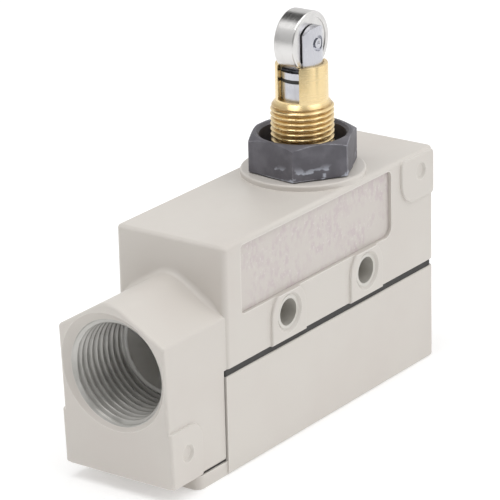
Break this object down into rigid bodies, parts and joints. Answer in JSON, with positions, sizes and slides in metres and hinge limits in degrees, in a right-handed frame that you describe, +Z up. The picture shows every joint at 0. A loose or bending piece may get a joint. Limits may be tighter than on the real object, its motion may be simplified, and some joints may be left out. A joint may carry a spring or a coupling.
{
  "type": "enclosed limit switch",
  "caption": "Enclosed limit switch with a cast metal body, side conduit entry, and a panel-mount sprung plunger carrying a cross roller.",
  "frame": {"origin": "centre of the underside", "axes": "+X from the conduit end to the far end, +Z up along the plunger, -Y out of the nameplate face"},
  "size_m": [0.0862, 0.025, 0.0745],
  "materials": {
    "painted_casting": "satin warm beige-grey enamel on zinc die casting",
    "pale_plastic": "pale moulded plastic",
    "black_rubber": "matte nitrile rubber",
    "zinc_steel": "zinc plated steel",
    "label_film": "matte beige label film, blank",
    "brass": "turned brass, bright",
    "black_steel": "black oxide steel with worn edges",
    "stainless_steel": "ground stainless steel",
    "spring_steel": "drawn spring wire",
    "black_phenolic": "moulded phenolic, black",
    "brown_phenolic": "moulded phenolic, dark brown",
    "red_plastic": "moulded plastic",
    "copper_alloy": "beryllium copper strip",
    "silver": "silver contact rivet",
    "fibre_sheet": "vulcanised fibre sheet"
  },
  "bodies": {
    "enclosure": {"housing": "painted_casting", "terminal_cover": "painted_casting", "cover_gasket": "black_rubber", "cover_screws": "zinc_steel", "mounting_sleeves": "zinc_steel", "nameplate": "label_film", "passage_liner": "pale_plastic", "plunger_bushing": "brass", "lock_nut": "black_steel", "nut_washer": "black_rubber", "bushing_o_ring": "black_rubber", "rod_o_ring": "black_rubber", "return_spring": "spring_steel", "switch_case": "black_phenolic", "switch_base": "brown_phenolic", "common_terminal": "brass", "normally_open_terminal": "brass", "normally_closed_terminal": "brass", "fixed_contacts": "silver", "terminal_clamps": "zinc_steel", "terminal_screws": "zinc_steel", "insulating_sheets": "fibre_sheet", "ground_screw": "zinc_steel", "ground_washer": "zinc_steel"},
    "plunger": {"plunger": "stainless_steel", "wiper_ring": "black_rubber", "roller_axle": "stainless_steel", "retaining_clip": "spring_steel", "pin_guide_bush": "brass", "overtravel_spring": "spring_steel"},
    "roller": {"roller": "stainless_steel"},
    "push_pin": {"push_pin": "stainless_steel"},
    "switch_pin": {"switch_pin": "red_plastic"},
    "blade": {"contact_blade": "copper_alloy", "snap_spring": "copper_alloy", "moving_contact": "silver"}
  },
  "joints": [
    {"name": "plunger_slide", "type": "slide", "parent": "enclosure", "child": "plunger", "axis": [0, 0, -1], "range_m": [0, 0.0045], "stiffness_N_per_m": 400, "springref_m": -0.01, "deforming": ["return_spring", "overtravel_spring"]},
    {"name": "roller_spin", "type": "hinge", "parent": "plunger", "child": "roller", "pos_m": [0.0163, 0, 0.0687], "axis": [0, 1, 0], "continuous": true},
    {"name": "push_pin_slide", "type": "slide", "parent": "enclosure", "child": "push_pin", "axis": [0, 0, -1], "range_m": [0, 0.00061]},
    {"name": "switch_pin_slide", "type": "slide", "parent": "enclosure", "child": "switch_pin", "axis": [0, 0, -1], "range_m": [0, 0.00061]},
    {"name": "blade_swing", "type": "hinge", "parent": "enclosure", "child": "blade", "pos_m": [-0.016, 0, 0.03275], "axis": [0, 1, 0], "range_deg": [0, 1.09]}
  ],
  "couplings": [
    {"joint": "push_pin_slide", "follows": "plunger_slide", "ratio": 0.13333},
    {"joint": "switch_pin_slide", "follows": "plunger_slide", "ratio": 0.13333},
    {"joint": "blade_swing", "follows": "plunger_slide", "rad_per_m": 4.19}
  ]
}
